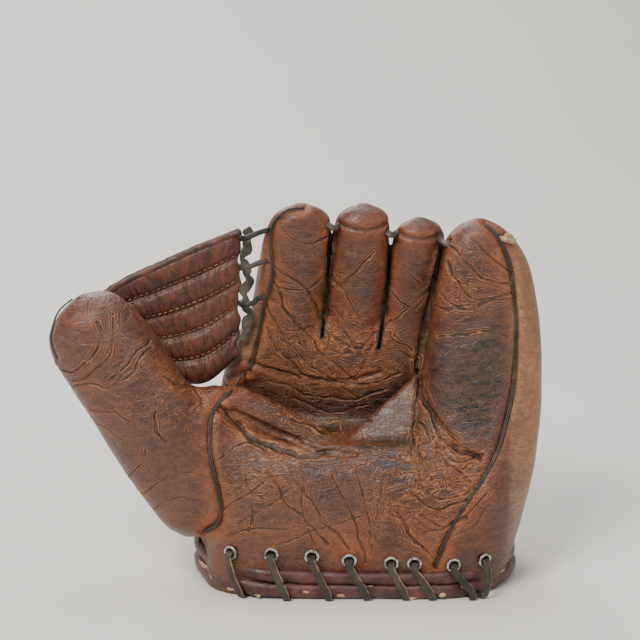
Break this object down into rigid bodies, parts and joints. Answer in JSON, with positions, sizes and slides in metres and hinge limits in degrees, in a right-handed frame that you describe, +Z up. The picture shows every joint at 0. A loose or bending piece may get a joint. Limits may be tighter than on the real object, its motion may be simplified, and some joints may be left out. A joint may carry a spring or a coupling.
{
  "type": "fielder's glove",
  "caption": "Vintage leather fielder's glove standing on its heel: padded stalls, sewn ribbed web, laced heel binding with eyelets and a wrist strap",
  "frame": {"origin": "under the middle of the glove, on the surface it stands on", "axes": "+Z up, the palm faces -Y, +X towards the little finger"},
  "size_m": [0.3166, 0.128, 0.2484],
  "materials": {
    "body_leather": "worn oiled steerhide",
    "side_leather": "worn tan hide",
    "web_leather": "dark red-brown hide, wrinkled",
    "edge_leather": "raw grey-green edge",
    "binding_leather": "rolled purple-brown binding",
    "welt_leather": "dark grey-brown rolled seam",
    "rawhide_lace": "dark rawhide",
    "knot_leather": "light tan lace end",
    "lining_leather": "soft worn lining",
    "felt": "wool felt",
    "thread": "waxed tan thread",
    "nickel": "tarnished nickel plate",
    "rivet_brass": "old brass"
  },
  "bodies": {
    "palm": {"heel_binding": "binding_leather", "heel_eyelets": "nickel", "heel_lace": "rawhide_lace", "heel_pad": "felt", "palm_back_leather": "body_leather", "palm_front_leather": "body_leather", "palm_lining": "lining_leather", "strap_rivet": "rivet_brass", "strap_root": "body_leather", "strap_stud": "rivet_brass", "wrist_binding": "binding_leather"},
    "thumb": {"thumb_back_leather": "body_leather", "thumb_front_leather": "body_leather", "thumb_lining": "lining_leather", "thumb_pad": "felt", "thumb_welt": "welt_leather"},
    "fingers": {"fingertip_knot": "knot_leather", "fingertip_lace": "rawhide_lace", "index_back_leather": "side_leather", "index_front_leather": "body_leather", "index_lining": "lining_leather", "index_pad": "felt", "index_welt": "welt_leather", "knuckle_back_leather": "body_leather", "little_back_leather": "side_leather", "little_front_leather": "body_leather", "little_lining": "lining_leather", "little_pad": "felt", "little_welt": "welt_leather", "middle_back_leather": "body_leather", "middle_front_leather": "body_leather", "middle_lining": "lining_leather", "middle_pad": "felt", "middle_welt": "welt_leather", "pocket_leather": "body_leather", "pocket_lining": "lining_leather", "pocket_pad": "felt", "ring_back_leather": "body_leather", "ring_front_leather": "body_leather", "ring_lining": "lining_leather", "ring_pad": "felt", "ring_welt": "welt_leather"},
    "web": {"web_back_leather": "web_leather", "web_edge_strip": "edge_leather", "web_front_leather": "web_leather", "web_laces": "rawhide_lace", "web_rib_pads": "felt", "web_stitching": "thread"},
    "strap": {"wrist_strap": "body_leather"}
  },
  "joints": [
    {"name": "thumb_fold", "type": "hinge", "parent": "palm", "child": "thumb", "pos_m": [-0.047, -0.028, 0.06], "axis": [0, 0, 1], "range_deg": [0, 35]},
    {"name": "finger_fold", "type": "hinge", "parent": "palm", "child": "fingers", "pos_m": [0.02, 0.024, 0.106], "axis": [1, 0, 0], "range_deg": [0, 10.5]},
    {"name": "web_fold", "type": "hinge", "parent": "fingers", "child": "web", "pos_m": [-0.034, -0.006, 0.19], "axis": [0.007, 0.4472, 0.8944], "range_deg": [0, 19.7]},
    {"name": "strap_swing", "type": "hinge", "parent": "palm", "child": "strap", "pos_m": [0.08, 0.0586, 0.034], "axis": [0, 0, -1], "range_deg": [0, 100]}
  ],
  "couplings": [
    {"joint": "finger_fold", "follows": "thumb_fold", "ratio": 0.3},
    {"joint": "web_fold", "follows": "thumb_fold", "ratio": 0.563}
  ]
}
